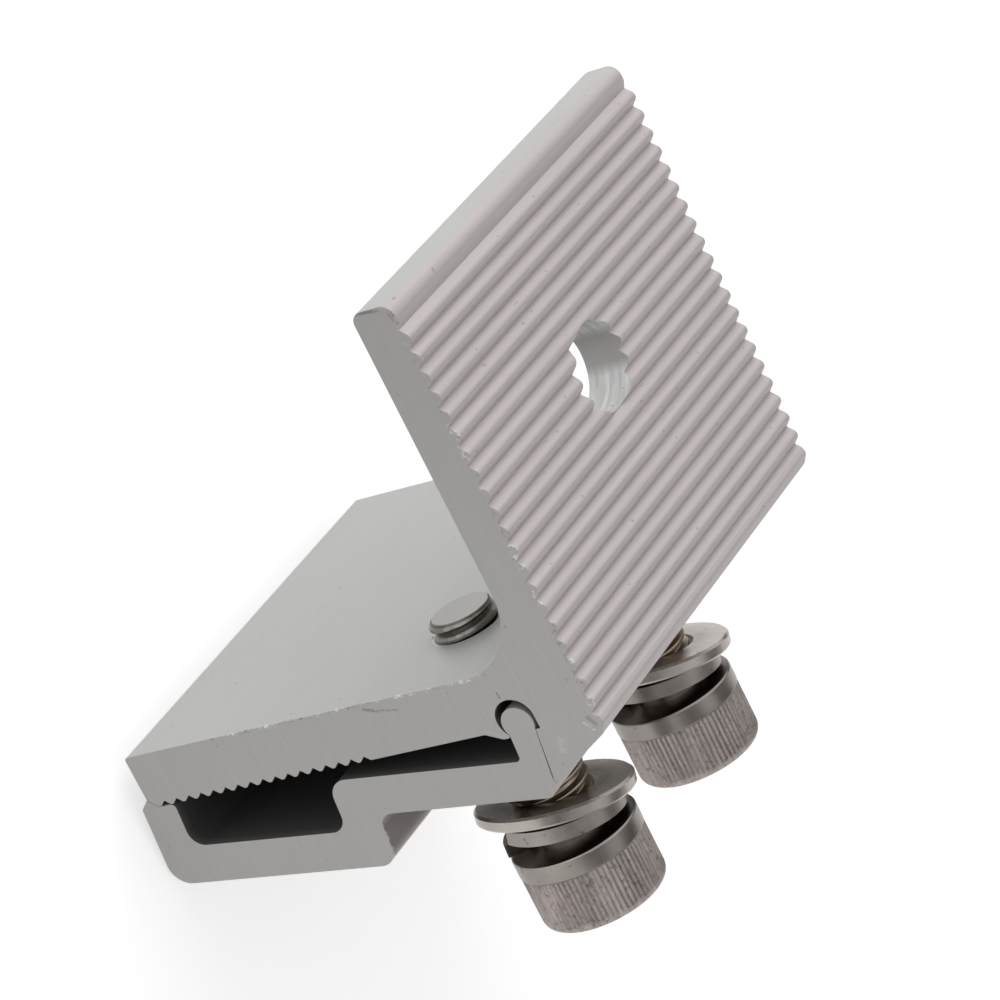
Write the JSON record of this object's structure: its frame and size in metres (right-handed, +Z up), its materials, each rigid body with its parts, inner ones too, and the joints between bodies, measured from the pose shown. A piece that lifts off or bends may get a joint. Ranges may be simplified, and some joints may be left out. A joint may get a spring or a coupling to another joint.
{
  "type": "standing seam clamp",
  "caption": "Clamp for a standing roof seam: a ribbed, drilled platform on a toothed jaw, and a hinged jaw that socket head screws draw towards it.",
  "frame": {"origin": "middle of the platform's hole, level with the tops of the ribs", "axes": "+Z up out of the ribbed platform, Y along the extrusions and the roof seam, +X towards the heads of the screws"},
  "size_m": [0.0678, 0.0508, 0.0545],
  "materials": {
    "extrusion": "satin silver anodised extrusion with sawn ends",
    "screw_steel": "bright plated steel with a knurled head",
    "washer_steel": "bright plated steel"
  },
  "bodies": {
    "clamp": {"upper_jaw": "extrusion"},
    "swinging_jaw": {"lower_jaw": "extrusion"},
    "front_washers": {"flat_washer_front": "washer_steel", "spring_washer_front": "washer_steel"},
    "front_screw": {"screw_front": "screw_steel"},
    "rear_washers": {"flat_washer_rear": "washer_steel", "spring_washer_rear": "washer_steel"},
    "rear_screw": {"screw_rear": "screw_steel"}
  },
  "joints": [
    {"name": "jaw_swing", "type": "hinge", "parent": "clamp", "child": "swinging_jaw", "pos_m": [0.02211, 0, -0.00879], "axis": [0, -1, 0], "range_deg": [0, 1]},
    {"name": "front_screw_travel", "type": "slide", "parent": "clamp", "child": "front_washers", "axis": [1, 0, 0], "range_m": [-0.00443, 0.00501]},
    {"name": "front_screw_turn", "type": "hinge", "parent": "front_washers", "child": "front_screw", "pos_m": [0, -0.0133, -0.01781], "axis": [1, 0, 0], "range_deg": [-1275, 1440]},
    {"name": "rear_screw_travel", "type": "slide", "parent": "clamp", "child": "rear_washers", "axis": [1, 0, 0], "range_m": [-0.00378, 0.00566]},
    {"name": "rear_screw_turn", "type": "hinge", "parent": "rear_washers", "child": "rear_screw", "pos_m": [0, 0.0115, -0.01781], "axis": [1, 0, 0], "range_deg": [-1088, 1627]}
  ],
  "couplings": [
    {"joint": "front_screw_travel", "follows": "front_screw_turn", "m_per_rad": 0.00019894},
    {"joint": "rear_screw_travel", "follows": "rear_screw_turn", "m_per_rad": 0.00019894}
  ]
}
